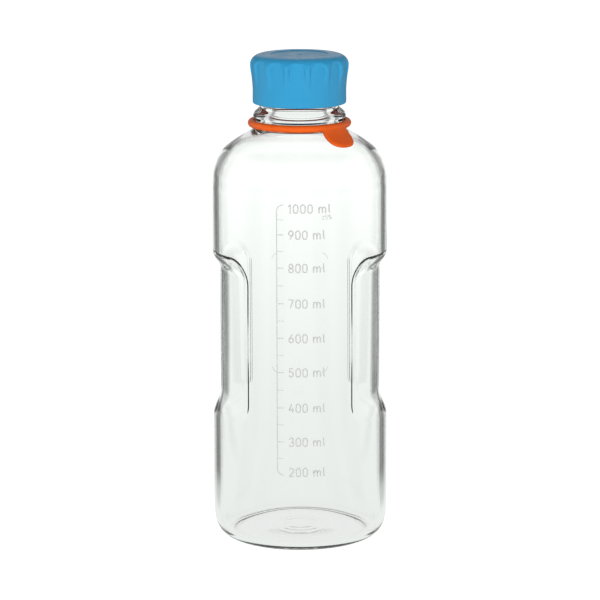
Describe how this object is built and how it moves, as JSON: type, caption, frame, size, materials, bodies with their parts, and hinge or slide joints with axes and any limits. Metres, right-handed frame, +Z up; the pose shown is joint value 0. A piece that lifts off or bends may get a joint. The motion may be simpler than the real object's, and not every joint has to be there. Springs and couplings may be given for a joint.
{
  "type": "screw-cap laboratory bottle",
  "caption": "Clear glass laboratory bottle with grip recesses on both sides, a screw cap with shallow flutes, a pouring ring under it and a loose silicone tag around the neck.",
  "frame": {"origin": "centre of the standing ring, on the plane the bottle rests on", "axes": "+Z up along the bottle's axis, -Y towards the printed front, +X to the right as seen from the front"},
  "size_m": [0.092, 0.092, 0.2562],
  "materials": {
    "borosilicate_glass": "polished, clear",
    "enamel_print": "fired matt enamel print",
    "cap_plastic": "satin moulded polypropylene",
    "seal_plastic": "smooth",
    "ring_plastic": "satin moulded polypropylene",
    "tag_silicone": "matt silicone"
  },
  "bodies": {
    "bottle": {"glass_bottle": "borosilicate_glass", "pouring_ring": "ring_plastic"},
    "seal": {"cap_seal": "seal_plastic"},
    "cap": {"screw_cap": "cap_plastic"},
    "tag": {"bottle_tag": "tag_silicone"}
  },
  "joints": [
    {"name": "cap_lift", "type": "slide", "parent": "bottle", "child": "seal", "axis": [0, 0, 1], "range_m": [0, 0.04]},
    {"name": "cap_turn", "type": "hinge", "parent": "seal", "child": "cap", "pos_m": [0, 0, 0.243], "axis": [0, 0, 1], "range_deg": [0, 3600]},
    {"name": "tag_turn", "type": "hinge", "parent": "bottle", "child": "tag", "pos_m": [0, 0, 0.2205], "axis": [0, 0, 1], "continuous": true}
  ],
  "couplings": [
    {"joint": "cap_lift", "follows": "cap_turn", "m_per_rad": 0.00063662}
  ]
}
